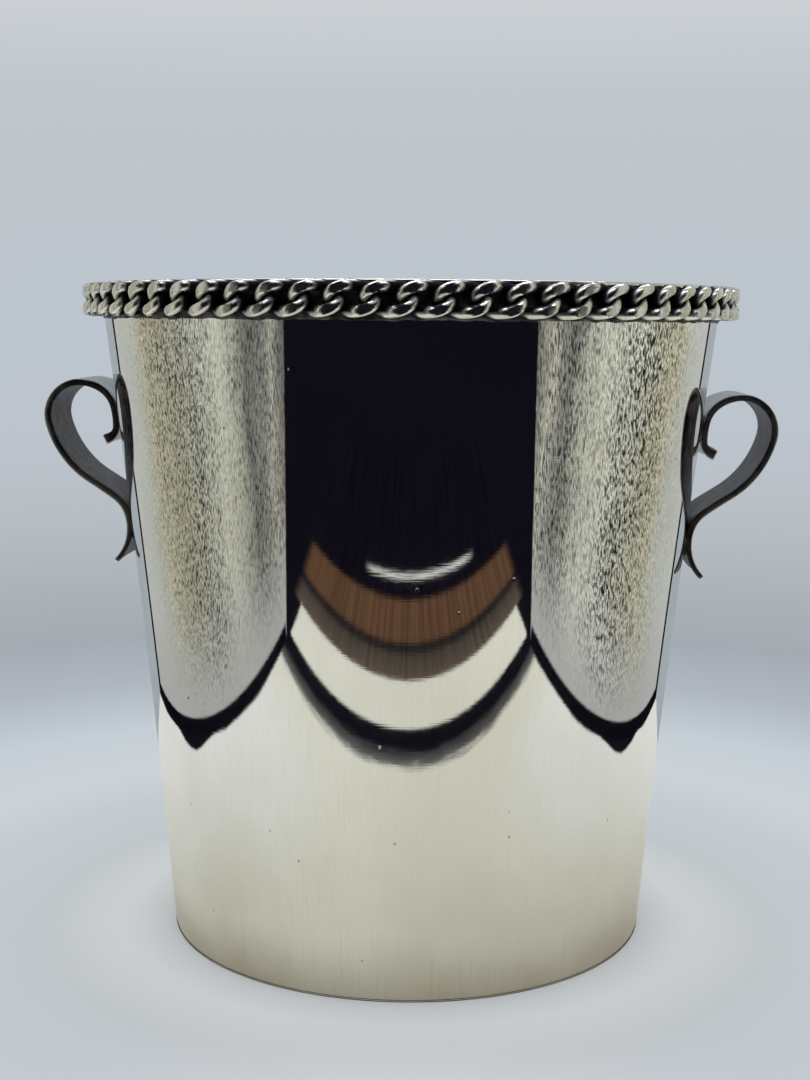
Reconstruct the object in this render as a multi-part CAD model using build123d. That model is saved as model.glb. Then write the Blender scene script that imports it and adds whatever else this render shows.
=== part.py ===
"""Champagne bucket with a curb-chain rim and two scroll strap handles.

Millimetres, +Z up.  The origin is the centre of the circle that the bucket
stands on.  The handles lie on +X (right) and -X (left), and -Y is the front.
Every sub-part is written to parts/NODE.step as its own solid or solids.
"""
import os
from math import cos, pi, radians, sin

from build123d import *

# ---- driving dimensions --------------------------------------------------
BUCKET_HEIGHT = 210.0        # table to the top of the chain
BASE_RADIUS = 77.9           # outside of the wall at the table
WAIST_RADIUS = 87.05         # outside of the wall half way up
BAND_RADIUS = 98.1           # outside of the upright band behind the chain
BAND_HEIGHT = 10.6           # the band that carries the chain
WALL_THICKNESS = 1.2
LIP_ROUND = 0.5              # rounding of the wall's top edge

FLOOR_RISE = 2.0             # underside of the bottom disc above the table
FLOOR_THICKNESS = 1.5
FLOOR_SOLDER_LEG = 1.4       # fillet of solder under the disc

LINK_COUNT = 66
LINK_START = 1.8             # degrees, bearing of the first link
LINKS_PER_NODE = 2
LINK_WIRE = 3.0              # wire diameter
LINK_CIRCLE = 101.6          # radius of the circle through the links' middles
LINK_HALF_LENGTH = 6.55      # centre line, along the rim
LINK_HALF_HEIGHT = 3.6       # centre line, up and down
LINK_TWIST = 1.85            # how far the quarters stand out and in
LINK_CORNERS = 16
SOLDER_BED = 0.25            # solder between the band and the chain
SOLDER_BED_HEIGHT = 7.0

STRAP_WIDTH = 27.0
STRAP_THICKNESS = 2.1
STRAP_TIP = (98.2, 158.6)    # radius and height of the curled end's outer face
STRAP_TIP_HEADING = 157.8    # direction of the strap there, degrees from +radius
# Each bend is (radius, turn in degrees); a negative turn is clockwise.
STRAP_BENDS = [
    (6.1, -66.4),            # the curl, up to the wall
    (26.0, -15.2),           # along the wall, where it is soldered
    (11.4, -97.9),           # over the top
    (11.8, -83.0),           # round the outermost point
    (32.0, -43.7),           # the long grip, running in and down
    (46.9, 10.7),
    (11.0, 35.3),            # back to the wall, soldered again
    (16.5, 50.3),            # the tail, flicked out
]
RIGHT_DROP = 3.0             # the right handle was fixed this much lower
RIGHT_SHIFT = 0.33           # and so follows the taper inwards

# Each joint is (lowest, highest, radius that lies inside the strap).
UPPER_JOINT = (165.0, 171.0, 95.6)
LOWER_JOINT = (127.5, 134.0, 91.6)
JOINT_WIDTH = 25.0

BAND_BOTTOM = BUCKET_HEIGHT - BAND_HEIGHT


def save(shape, name):
    """Write one node."""
    export_step(shape, f"parts/{name}.step")
    print(f"{name:20s} solids {len(shape.solids())}  volume {shape.volume:9.1f} mm3")


# ---- wall and bottom -----------------------------------------------------
def side_face(inset):
    """Half section of the solid of revolution inside the wall, inset from its outer face."""
    foot = (BASE_RADIUS - inset, 0)
    waist = (WAIST_RADIUS - inset, BAND_BOTTOM / 2)
    shoulder = (BAND_RADIUS - inset, BAND_BOTTOM)
    edges = [
        Line((0, 0), foot),
        ThreePointArc(foot, waist, shoulder),
        Line(shoulder, (shoulder[0], BUCKET_HEIGHT)),
        Line((shoulder[0], BUCKET_HEIGHT), (0, BUCKET_HEIGHT)),
        Line((0, BUCKET_HEIGHT), (0, 0)),
    ]
    return make_face(Wire(edges).edges())


def plug(inset):
    """The full solid of revolution at an inset from the wall's outer face."""
    return revolve(Plane.YZ * side_face(inset), Axis.Z)


def body_wall():
    """Tapered sheet, flared a little upwards, ending in an upright band."""
    shell = plug(0) - plug(WALL_THICKNESS)
    lip = shell.edges().filter_by(GeomType.CIRCLE).group_by(Axis.Z)[-1]
    return fillet(lip, LIP_ROUND)


def slab(low, high):
    """The space inside the wall between two heights."""
    disc = Pos(0, 0, (low + high) / 2) * Cylinder(BAND_RADIUS + 10, high - low)
    return plug(WALL_THICKNESS) & disc


def base_disc():
    return slab(FLOOR_RISE, FLOOR_RISE + FLOOR_THICKNESS)


def base_solder():
    """Ring of solder in the corner under the disc."""
    corner = BASE_RADIUS - WALL_THICKNESS
    ring = Pos(0, 0, FLOOR_RISE - FLOOR_SOLDER_LEG / 2) * Cone(
        corner, corner - FLOOR_SOLDER_LEG, FLOOR_SOLDER_LEG)
    return slab(FLOOR_RISE - FLOOR_SOLDER_LEG, FLOOR_RISE) - ring


# ---- chain ---------------------------------------------------------------
def link_corner(k):
    """Corner k of the link's centre line, with the link on the +X side and its length along Y."""
    a = 2 * pi * (k + 0.5) / LINK_CORNERS
    out = LINK_CIRCLE - LINK_TWIST * sin(2 * a)
    return Vector(out, LINK_HALF_LENGTH * cos(a), LINK_HALF_HEIGHT * sin(a))


def link():
    """One twisted curb link: short lengths of round wire, mitred where they meet."""
    runs = []
    for k in range(LINK_CORNERS):
        before, start, end, after = [link_corner(k + step) for step in (-1, 0, 1, 2)]
        arriving = (start - before).normalized()
        along = (end - start).normalized()
        leaving = (after - end).normalized()
        wire = Plane(origin=start - along * LINK_WIRE, z_dir=along) * Pos(
            0, 0, (end - start).length / 2 + LINK_WIRE) * Cylinder(
            LINK_WIRE / 2, (end - start).length + 2 * LINK_WIRE)
        wire = split(wire, Plane(origin=start, z_dir=arriving + along), keep=Keep.TOP)
        wire = split(wire, Plane(origin=end, z_dir=along + leaving), keep=Keep.BOTTOM)
        runs.append(wire)
    return Part() + runs


def chain_nodes():
    """The links in their places round the band, a few to each node."""
    one = Pos(0, 0, BUCKET_HEIGHT - LINK_HALF_HEIGHT - LINK_WIRE / 2) * link()
    nodes = []
    for first in range(0, LINK_COUNT, LINKS_PER_NODE):
        turns = [LINK_START + 360 * (first + k) / LINK_COUNT for k in range(LINKS_PER_NODE)]
        nodes.append(Compound(children=[Rot(0, 0, turn) * one for turn in turns]))
    return nodes


def chain_solder():
    """Thin bed of solder that fixes the chain to the band."""
    middle = BUCKET_HEIGHT - BAND_HEIGHT / 2
    ring = Cylinder(BAND_RADIUS + SOLDER_BED, SOLDER_BED_HEIGHT)
    ring -= Cylinder(BAND_RADIUS, SOLDER_BED_HEIGHT)
    return Pos(0, 0, middle) * ring


# ---- handles -------------------------------------------------------------
def strap_section():
    """The strap seen from the front: its outer face as tangent arcs, then its thickness."""
    edges = []
    start, heading = Vector(*STRAP_TIP), STRAP_TIP_HEADING
    for radius, turn in STRAP_BENDS:
        direction = Vector(cos(radians(heading)), sin(radians(heading)))
        edges.append(JernArc(start=start, tangent=direction, radius=radius, arc_size=turn))
        start = edges[-1] @ 1
        heading += turn
    outer = Wire(edges)
    outline = outer.offset_2d(STRAP_THICKNESS, side=Side.RIGHT)
    return make_face(outline.edges())


def handle():
    """Flat strap on the +X side, its width across Y."""
    section = Plane.XZ * strap_section()
    return extrude(section, STRAP_WIDTH / 2, both=True)


def handle_joint(strap, place, low, high, reach):
    """Solder that fills the gap between the strap and the round wall."""
    size = (reach - BASE_RADIUS, JOINT_WIDTH, high - low)
    blank = Pos((reach + BASE_RADIUS) / 2, 0, (low + high) / 2) * Box(*size)
    return place * blank - plug(0) - strap


def handle_nodes(drop=0, shift=0):
    """A strap on the +X side, set lower and further in, and its two solder joints."""
    place = Pos(-shift, 0, -drop)
    strap = place * handle()
    upper = handle_joint(strap, place, *UPPER_JOINT)
    lower = handle_joint(strap, place, *LOWER_JOINT)
    return strap, upper, lower


# ---- write the nodes -----------------------------------------------------
def main():
    os.makedirs("parts", exist_ok=True)
    save(body_wall(), "body_wall")
    save(base_disc(), "base_disc")
    save(base_solder(), "base_solder")
    save(chain_solder(), "chain_solder")
    for number, pair in enumerate(chain_nodes(), start=1):
        save(pair, f"chain_links_{number:02d}")
    left_nodes = [Rot(0, 0, 180) * node for node in handle_nodes()]
    right_nodes = handle_nodes(RIGHT_DROP, RIGHT_SHIFT)
    for side, nodes in (("left", left_nodes), ("right", right_nodes)):
        strap, upper, lower = nodes
        save(strap, f"handle_{side}")
        save(upper, f"solder_{side}_upper")
        save(lower, f"solder_{side}_lower")


main()
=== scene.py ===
# %% [markdown]
# # A champagne bucket with a chain round its rim
#
# A silversmith makes this bucket from very few things: a tapered sheet wall, a
# flat bottom, a curb chain soldered round the rim and two flat straps bent into
# scroll handles.  The measured model already says where each of them sits, so
# this lesson only gives them their true surfaces: a mirror wall, a chain with
# filed flats and dark hollows, and greyed handles.

# %% Load the measured model
import math
import random

import bmesh
import bpy
from mathutils import Matrix, Vector


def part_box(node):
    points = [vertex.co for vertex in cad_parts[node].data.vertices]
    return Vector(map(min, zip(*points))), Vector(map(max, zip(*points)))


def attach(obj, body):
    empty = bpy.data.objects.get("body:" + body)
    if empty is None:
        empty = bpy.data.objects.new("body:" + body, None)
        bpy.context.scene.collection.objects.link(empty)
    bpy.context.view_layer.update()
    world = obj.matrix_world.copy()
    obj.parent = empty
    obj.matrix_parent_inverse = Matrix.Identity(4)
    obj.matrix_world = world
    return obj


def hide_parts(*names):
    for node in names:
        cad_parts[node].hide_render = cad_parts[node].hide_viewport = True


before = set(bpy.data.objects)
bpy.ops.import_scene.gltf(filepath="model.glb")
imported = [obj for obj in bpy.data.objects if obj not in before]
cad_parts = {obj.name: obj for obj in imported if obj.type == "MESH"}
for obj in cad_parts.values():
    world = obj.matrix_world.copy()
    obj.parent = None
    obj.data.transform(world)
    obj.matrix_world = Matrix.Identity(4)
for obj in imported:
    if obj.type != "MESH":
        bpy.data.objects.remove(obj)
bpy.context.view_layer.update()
scene = bpy.context.scene
MM = 0.001

# %% [markdown]
# ## The camera
#
# The bucket is looked at from a little below the rim, so its mouth closes to a
# line, and from close by, so its base bows downwards.  A camera is set by where
# it stands and where it points; the bearing is turned a touch so that one
# handle comes slightly nearer, and the small roll is kept because a hand-held
# view is never quite level.

# %% Camera
SENSOR = 36.0                       # millimetres, the long side of the frame
LENS = 53.3333                      # millimetres
EYE_DISTANCE = 0.526                # from the bucket's axis
EYE_HEIGHT = 0.1994
EYE_BEARING = math.radians(2.36)    # towards the right handle
EYE_PITCH = math.radians(7.86)      # downwards
EYE_ROLL = math.radians(0.44)
EYE_TURN = math.radians(0.154)      # to the left of the axis

camera = bpy.data.objects.new("camera", bpy.data.cameras.new("camera"))
scene.collection.objects.link(camera)
camera.data.sensor_width = SENSOR
camera.data.lens = LENS
turn = Matrix.Rotation(EYE_BEARING + EYE_TURN, 4, "Z")
tilt = Matrix.Rotation(math.radians(90) - EYE_PITCH, 4, "X")
eye = Vector((math.sin(EYE_BEARING), -math.cos(EYE_BEARING), 0)) * EYE_DISTANCE
eye.z = EYE_HEIGHT
camera.matrix_world = Matrix.Translation(eye) @ turn @ tilt @ Matrix.Rotation(EYE_ROLL, 4, "Z")
scene.camera = camera
print("camera stands at", [round(v, 3) for v in eye], "lens", round(camera.data.lens, 1))

# %% [markdown]
# ## From a bmesh to a piece
#
# Every new piece ends the same way: doubled points are merged, the faces are
# turned outwards, and edges sharper than a limit are marked so that smooth
# shading doesn't smear over them.  The piece then rides on the model's one body.


# %% Finish a piece
def new_object(bm, name, material):
    """An object from a bmesh, linked to the scene."""
    mesh = bpy.data.meshes.new(name)
    bm.to_mesh(mesh)
    bm.free()
    mesh.materials.append(material)
    made = bpy.data.objects.new(name, mesh)
    scene.collection.objects.link(made)
    return made


def finish_piece(bm, name, material, sharp=35.0):
    """Turn a bmesh into a shown piece."""
    bmesh.ops.remove_doubles(bm, verts=bm.verts, dist=1e-6)
    bmesh.ops.recalc_face_normals(bm, faces=bm.faces)
    for face in bm.faces:
        face.smooth = True
    for edge in bm.edges:
        edge.smooth = edge.calc_face_angle(0.0) < math.radians(sharp)
    piece = new_object(bm, name, material)
    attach(piece, "root")
    return piece


# %% [markdown]
# ## Shader helpers
#
# A metal finish is one Principled shader with Metallic at 1.  What makes it
# look like silver and not like grey plastic is what it reflects, and the small
# things on it: fine polishing lines, tarnish and dings.  Each of those effects
# is a node group that puts out one plain value, so that every finish can use it
# with its own numbers.


# %% Node helpers
def add_node(tree, kind, **inputs):
    """Add a node and set or link its inputs by name."""
    node = tree.nodes.new(kind)
    for name, value in inputs.items():
        connect(tree, node, name.replace("_", " "), value)
    return node


def connect(tree, node, name, value):
    """Link a socket, or set a constant on it."""
    socket = node.inputs[int(name) if name.isdigit() else name]
    if isinstance(value, bpy.types.NodeSocket):
        tree.links.new(value, socket)
    else:
        socket.default_value = value


def math_node(tree, operation, first, second=0.0, third=0.0, clamp=False):
    """One step of arithmetic; gives its output socket.  Only MULTIPLY_ADD reads the third."""
    node = tree.nodes.new("ShaderNodeMath")
    node.operation = operation
    node.use_clamp = clamp
    for number, value in enumerate((first, second, third)):
        connect(tree, node, str(number), value)
    return node.outputs[0]


def vector_node(tree, operation, first, second=None, scale=None):
    """One step of vector arithmetic; gives the node's outputs."""
    node = tree.nodes.new("ShaderNodeVectorMath")
    node.operation = operation
    for name, value in (("0", first), ("1", second), ("Scale", scale)):
        if value is not None:
            connect(tree, node, name, value)
    return node.outputs


def away_from(tree, value, middle=0.0):
    """How far a value lies from a middle one."""
    return math_node(tree, "ABSOLUTE", math_node(tree, "SUBTRACT", value, middle))


def ramp(tree, value, low, high):
    """Value stretched so that low becomes 0 and high becomes 1, with soft ends."""
    node = tree.nodes.new("ShaderNodeMapRange")
    node.interpolation_type = "SMOOTHSTEP"
    connect(tree, node, "Value", value)
    connect(tree, node, "From Min", low)
    connect(tree, node, "From Max", high)
    return node.outputs["Result"]


def mix_colour(tree, factor, first, second):
    """Two colours mixed; gives the colour socket."""
    node = tree.nodes.new("ShaderNodeMix")
    node.data_type = "RGBA"
    sockets = [s for s in node.inputs if s.type == "RGBA"]
    tree.links.new(factor, node.inputs[0])
    for socket, colour in zip(sockets, (first, second)):
        if isinstance(colour, bpy.types.NodeSocket):
            tree.links.new(colour, socket)
        else:
            socket.default_value = (*colour, 1.0)
    return next(s for s in node.outputs if s.type == "RGBA")


def own_place(tree):
    """The place of a point on its own object, in metres."""
    return tree.nodes.new("ShaderNodeTexCoord").outputs["Object"]


def split(tree, place):
    """A place's X, Y and Z."""
    return add_node(tree, "ShaderNodeSeparateXYZ", Vector=place).outputs


def scaled_place(tree, place, scale):
    """A place drawn out or squeezed along each axis."""
    node = add_node(tree, "ShaderNodeMapping", Vector=place)
    node.inputs["Scale"].default_value = scale
    return node.outputs["Vector"]


def across_axis(tree, place):
    """The place without its height, seen from the bucket's axis."""
    parts = split(tree, place)
    return add_node(tree, "ShaderNodeCombineXYZ", X=parts["X"], Y=parts["Y"]).outputs["Vector"]


def noise_value(tree, vector, scale, detail=2.0, roughness=0.5):
    """A noise texture's value."""
    node = tree.nodes.new("ShaderNodeTexNoise")
    connect(tree, node, "Vector", vector)
    connect(tree, node, "Scale", scale)
    connect(tree, node, "Detail", detail)
    connect(tree, node, "Roughness", roughness)
    return node.outputs["Fac"]


# %% [markdown]
# ## One effect for many finishes
#
# Fine lines, tarnish and dings are wanted in more than one finish.  Their nodes
# could be copied from material to material, but a node group is made once and
# then placed with other values, like a stamp that is pressed harder or softer.


# %% Start a node group
def new_group(name, inputs, outputs):
    """An empty effect with named sockets; gives the tree, its inputs and its output node."""
    tree = bpy.data.node_groups.new(name, "ShaderNodeTree")
    for label, value in inputs.items():
        socket = tree.interface.new_socket(label, in_out="INPUT", socket_type="NodeSocketFloat")
        socket.default_value = value
    for label in outputs:
        tree.interface.new_socket(label, in_out="OUTPUT", socket_type="NodeSocketFloat")
    start = tree.nodes.new("NodeGroupInput")
    end = tree.nodes.new("NodeGroupOutput")
    return tree, start.outputs, end


def use_group(tree, group, **inputs):
    """Place an effect in a material with its own values."""
    node = tree.nodes.new("ShaderNodeGroup")
    node.node_tree = group
    for name, value in inputs.items():
        connect(tree, node, name.replace("_", " "), value)
    return node.outputs


# %% [markdown]
# ## Polishing lines
#
# A wall that is polished with long strokes keeps two sets of fine lines: stains
# and strokes that run up and down, and turning lines that run round it like
# hoops.  The hoops matter most, because they draw every reflected edge out into
# threads.  A noise that is stretched one way would do on a flat sheet, but on a
# taper it would break up.  Here each point is first pushed out to one fixed
# radius, which keeps a line whole all the way up or all the way round.


# %% Effect: lines on a round wall
LINES_RADIUS = 90 * MM               # the fixed radius that every point is pushed to


def make_wall_lines():
    """Lines round the wall (Along near 0) or up it (Up near 0), fine and broad."""
    tree, given, end = new_group(
        "wall_lines", {"Fineness": 2500.0, "Along": 1.0, "Up": 0.02}, ["Lines", "Broad"])
    place = own_place(tree)
    unit = vector_node(tree, "NORMALIZE", across_axis(tree, place))[0]
    reach = math_node(tree, "MULTIPLY", given["Along"], LINES_RADIUS)
    ring = vector_node(tree, "SCALE", unit, scale=reach)[0]
    height = math_node(tree, "MULTIPLY", split(tree, place)["Z"], given["Up"])
    lift = add_node(tree, "ShaderNodeCombineXYZ", Z=height).outputs[0]
    path = vector_node(tree, "ADD", ring, lift)[0]
    lines = noise_value(tree, path, given["Fineness"], 3.0, 0.6)
    coarse = math_node(tree, "MULTIPLY", given["Fineness"], 0.1)
    broad = noise_value(tree, path, coarse, 2.0)
    tree.links.new(lines, end.inputs["Lines"])
    tree.links.new(broad, end.inputs["Broad"])
    return tree


wall_lines = make_wall_lines()
print("effect made:", wall_lines.name)

# %% [markdown]
# ## Tarnish and dings
#
# Silver yellows in soft clouds, a little more towards the foot where cloths
# don't reach.  Dings are the opposite: tiny, sharp and rare.  Each cell of a
# Voronoi texture gives one possible ding, and the cell's own random value says
# whether it is kept.


# %% Effects: tarnish clouds and dings
def make_tarnish():
    """Soft clouds, denser below the height Foot."""
    tree, given, end = new_group("tarnish", {"Size": 14.0, "Foot": 0.06}, ["Mask"])
    place = own_place(tree)
    clouds = noise_value(tree, place, given["Size"], 4.0, 0.6)
    low = math_node(tree, "MULTIPLY", ramp(tree, split(tree, place)["Z"], given["Foot"], 0.0), 0.35)
    mask = math_node(tree, "ADD", ramp(tree, clouds, 0.42, 0.75), low)
    tree.links.new(math_node(tree, "MINIMUM", mask, 1.0), end.inputs["Mask"])
    return tree


def make_dings():
    """A dot in the middle of some cells; a higher Rarity keeps fewer."""
    tree, given, end = new_group("dings", {"Spacing": 90.0, "Radius": 0.05, "Rarity": 0.6}, ["Mask"])
    place = own_place(tree)
    cells = add_node(tree, "ShaderNodeTexVoronoi", Vector=place, Scale=given["Spacing"])
    dot = ramp(tree, cells.outputs["Distance"], given["Radius"], 0.0)
    chance = add_node(tree, "ShaderNodeSeparateColor", Color=cells.outputs["Color"]).outputs[0]
    kept = math_node(tree, "GREATER_THAN", chance, given["Rarity"])
    tree.links.new(math_node(tree, "MULTIPLY", dot, kept), end.inputs["Mask"])
    return tree


tarnish = make_tarnish()
dings = make_dings()
print("effects made:", tarnish.name, dings.name)

# %% [markdown]
# ## A plain metal to start from
#
# All the metals here begin alike: a Principled shader that is fully metallic,
# so that its colour tints what it mirrors, and a bump node for relief that is
# too fine to model.


# %% Start a metal
def new_metal(name):
    """A material with a fully metallic shader; gives the material, its tree and the shader."""
    material = bpy.data.materials.new(name)
    material.use_nodes = True
    tree = material.node_tree
    shader = tree.nodes["Principled BSDF"]
    shader.inputs["Metallic"].default_value = 1.0
    return material, tree, shader


def bump(tree, shader, height, depth):
    """Feed a height into the shader's normal; depth is in metres."""
    node = tree.nodes.new("ShaderNodeBump")
    connect(tree, node, "Height", height)
    connect(tree, node, "Distance", depth)
    connect(tree, node, "Strength", 1.0)
    tree.links.new(node.outputs["Normal"], shader.inputs["Normal"])


# %% [markdown]
# ## The wall's finish
#
# The wall is nearly a mirror, but an old one.  Its colour is a clean silver that
# warms in clouds and darkens in streaks near the foot, and right at the foot it
# is darkened as painted shade, for the shaded floor that it mirrors there.  Its
# relief is under a micrometre deep: hoops, strokes, and a few dings where
# something knocked it.


# %% Finish: polished silver wall
CLEAN_SILVER = (0.93, 0.925, 0.895)
WARM_SILVER = (0.84, 0.81, 0.70)
DULL_SILVER = (0.85, 0.845, 0.81)
# tone of the stains low on the wall, and of the painted shade right at the foot
FOOT_STAIN_AND_SHADE = (0.60, 0.55, 0.47)
BRUSHED_SILVER = (0.74, 0.725, 0.67)
PIT_COLOUR = (0.10, 0.09, 0.08)
WARMTH = 0.55                        # shares of each tone where it is strongest
FOOT_SHADE = 0.75
STREAKS = 0.35
CLOUDS_AT_FOOT = 0.45
BRUSHING = 0.35
PIT_DARKNESS = 0.85
STAIN_HEIGHT = 60 * MM
FOOT_SHADE_HEIGHT = 20 * MM
WALL_RELIEF = 0.0016 * MM
DING_DEPTH = 25.0                    # a ding's depth as a multiple of that relief


def make_wall_silver():
    """Clean silver, then clouds, streaks and painted shade at the foot, then brushing and pits over
    it.
    """
    material, tree, shader = new_metal("polished_silver")
    strokes = use_group(tree, wall_lines, Fineness=2600.0, Along=1.0, Up=0.03)
    hoops = use_group(tree, wall_lines, Fineness=2300.0, Along=0.04, Up=1.0)
    stains = use_group(tree, wall_lines, Fineness=900.0, Along=1.0, Up=0.05)
    yellow = use_group(tree, tarnish, Size=13.0, Foot=0.07)["Mask"]
    nicks = use_group(tree, dings, Spacing=110.0, Radius=0.07, Rarity=0.45)["Mask"]
    place = own_place(tree)
    clouds = ramp(tree, noise_value(tree, place, 15.0, 3.0, 0.6), 0.38, 0.66)
    patchy = mix_colour(tree, clouds, CLEAN_SILVER, DULL_SILVER)
    warm = mix_colour(tree, math_node(tree, "MULTIPLY", yellow, WARMTH), patchy, WARM_SILVER)
    height = split(tree, place)["Z"]
    low = ramp(tree, height, STAIN_HEIGHT, -10 * MM)
    # Painted shade: the darkening that grows over the last 20 mm down to the foot stands for the
    # shaded floor that the wall mirrors there.  The streaks and clouds lower down are stains, and both
    # take the one foot colour.
    foot_shade = math_node(tree, "MULTIPLY", ramp(tree, height, FOOT_SHADE_HEIGHT, 0.0), FOOT_SHADE)
    streak = math_node(tree, "MULTIPLY", ramp(tree, stains["Lines"], 0.5, 0.85), STREAKS)
    marks = math_node(tree, "MULTIPLY_ADD", clouds, CLOUDS_AT_FOOT, streak)
    stain_and_shade = math_node(tree, "ADD", foot_shade, math_node(tree, "MULTIPLY", low, marks), clamp=True)
    brushed = math_node(tree, "MULTIPLY", ramp(tree, strokes["Lines"], 0.42, 0.72), BRUSHING)
    worn = mix_colour(tree, brushed, mix_colour(tree, stain_and_shade, warm, FOOT_STAIN_AND_SHADE), BRUSHED_SILVER)
    pitted = mix_colour(tree, math_node(tree, "MULTIPLY", nicks, PIT_DARKNESS), worn, PIT_COLOUR)
    connect(tree, shader, "Base Color", pitted)
    connect(tree, shader, "Roughness", math_node(tree, "MULTIPLY_ADD", strokes["Broad"], 0.03, 0.01))
    fine = math_node(tree, "MULTIPLY_ADD", strokes["Lines"], 0.25, hoops["Lines"])
    relief = math_node(tree, "SUBTRACT", fine, math_node(tree, "MULTIPLY", nicks, DING_DEPTH))
    bump(tree, shader, relief, WALL_RELIEF)
    return material


wall_silver = make_wall_silver()
print("finish made:", wall_silver.name)

# %% [markdown]
# ## The wall
#
# The real wall is one sheet, rolled and flared.  Its outline from foot to
# shoulder is a shallow arc, then an upright band for the chain.  A lathe is the
# natural tool for it: the section is drawn once, as a thin loop of points, and
# spun round the axis.  A mirror shows every facet, so the spin has many steps
# and the arc many points.

# %% The wall's outline
BASE_RADIUS = 77.9 * MM
WAIST_RADIUS = 87.05 * MM
WALL = 1.2 * MM
BAND_DEPTH = 10.6 * MM
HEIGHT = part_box("body_wall")[1].z
BAND_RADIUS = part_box("body_wall")[1].y
SHOULDER = HEIGHT - BAND_DEPTH


def circle_through(a, b, c):
    """Centre and radius of the circle through three points of the section."""
    (ax, az), (bx, bz), (cx, cz) = a, b, c
    d = 2 * (ax * (bz - cz) + bx * (cz - az) + cx * (az - bz))
    aa, bb, cc = ax * ax + az * az, bx * bx + bz * bz, cx * cx + cz * cz
    x = (aa * (bz - cz) + bb * (cz - az) + cc * (az - bz)) / d
    z = (aa * (cx - bx) + bb * (ax - cx) + cc * (bx - ax)) / d
    return x, z, math.hypot(ax - x, az - z)


FLARE = circle_through((BASE_RADIUS, 0), (WAIST_RADIUS, SHOULDER / 2), (BAND_RADIUS, SHOULDER))


def wall_radius(z):
    """Outside radius of the wall at a height."""
    if z >= SHOULDER:
        return BAND_RADIUS
    x, middle, radius = FLARE
    return x - math.copysign(math.sqrt(radius ** 2 - (z - middle) ** 2), x)


print("wall radius at foot, middle, rim:",
      [round(wall_radius(z) / MM, 2) for z in (0, HEIGHT / 2, HEIGHT)])

# %% Spin the wall
WALL_STEPS = 300
WALL_RINGS = 36
LIP_ROUND = 0.45 * MM
FOOT_ROUND = 0.25 * MM
HOLD = 0.15 * MM                     # rings this close to a corner keep it crisp


def section_loop(bm, outline):
    """A closed loop of vertices and edges in the XZ plane."""
    points = [bm.verts.new((x, 0, z)) for x, z in outline]
    edges = [bm.edges.new(pair) for pair in zip(points, points[1:] + points[:1])]
    return points + edges


def spin_whole(bm, geometry, steps):
    """A full turn about Z."""
    bmesh.ops.spin(bm, geom=geometry, axis=(0, 0, 1), cent=(0, 0, 0), dvec=(0, 0, 0),
                   angle=2 * math.pi, steps=steps, use_merge=True)


def ring_edges(bm, z, radius, slack=0.05 * MM):
    """The edges of one ring of a spun shape."""
    def on_ring(v):
        return abs(v.co.z - z) < slack and abs(math.hypot(v.co.x, v.co.y) - radius) < slack
    return [e for e in bm.edges if on_ring(e.verts[0]) and on_ring(e.verts[1])]


def make_wall():
    """The outline spun round, with its lip and its foot rounded."""
    heights = [SHOULDER * k / WALL_RINGS for k in range(1, WALL_RINGS)]
    heights = [0, FOOT_ROUND + HOLD, *heights, SHOULDER - HOLD, SHOULDER, SHOULDER + HOLD, HEIGHT]
    outside = [(wall_radius(z), z) for z in heights]
    inside = [(x - WALL, z) for x, z in reversed(outside)]
    bm = bmesh.new()
    spin_whole(bm, section_loop(bm, outside + inside), WALL_STEPS)
    bmesh.ops.recalc_face_normals(bm, faces=bm.faces)
    lip = ring_edges(bm, HEIGHT, BAND_RADIUS) + ring_edges(bm, HEIGHT, BAND_RADIUS - WALL)
    bmesh.ops.bevel(bm, geom=lip, offset=LIP_ROUND, affect="EDGES", segments=4,
                    profile=0.5, material=-1)
    foot = ring_edges(bm, 0, BASE_RADIUS)
    bmesh.ops.bevel(bm, geom=foot, offset=FOOT_ROUND, affect="EDGES", segments=4,
                    profile=0.5, material=-1)
    return finish_piece(bm, "bucket_wall", wall_silver, sharp=50)


bucket_wall = make_wall()
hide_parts("body_wall")
print("wall faces:", len(bucket_wall.data.polygons))

# %% [markdown]
# ## The bottom
#
# The bottom disc and the solder under it have the right shape already, so they
# keep their meshes and only get finishes.  A disc is polished while it turns,
# and that leaves rings: the noise is read against the distance from the axis.


# %% Finishes: turned silver and solder
TURNED_CLEAN = (0.84, 0.83, 0.80)
TURNED_DULL = (0.66, 0.62, 0.52)
TURNED_RELIEF = 0.008 * MM
SOLDER_GREY = (0.16, 0.155, 0.15)
SOLDER_DARK = (0.035, 0.033, 0.034)
SOLDER_RELIEF = 0.12 * MM


def make_turned_silver():
    """Silver with fine rings round the axis."""
    material, tree, shader = new_metal("turned_silver")
    reach = vector_node(tree, "LENGTH", across_axis(tree, own_place(tree)))["Value"]
    where = add_node(tree, "ShaderNodeCombineXYZ", X=reach).outputs[0]
    rings = noise_value(tree, where, 3000.0, 3.0, 0.7)
    yellow = use_group(tree, tarnish, Size=30.0, Foot=0.0)["Mask"]
    connect(tree, shader, "Base Color", mix_colour(tree, yellow, TURNED_CLEAN, TURNED_DULL))
    connect(tree, shader, "Roughness", ramp(tree, rings, -1.2, 3.0))
    bump(tree, shader, rings, TURNED_RELIEF)
    return material


def make_solder():
    """Dull grey solder, darker in patches."""
    material, tree, shader = new_metal("silver_solder")
    place = own_place(tree)
    grain = noise_value(tree, place, 900.0, 4.0, 0.6)
    dark = ramp(tree, noise_value(tree, place, 220.0, 2.0), 0.35, 0.65)
    connect(tree, shader, "Base Color", mix_colour(tree, dark, SOLDER_GREY, SOLDER_DARK))
    connect(tree, shader, "Roughness", ramp(tree, grain, -0.6, 1.6))
    bump(tree, shader, grain, SOLDER_RELIEF)
    return material


turned_silver = make_turned_silver()
solder = make_solder()


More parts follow.
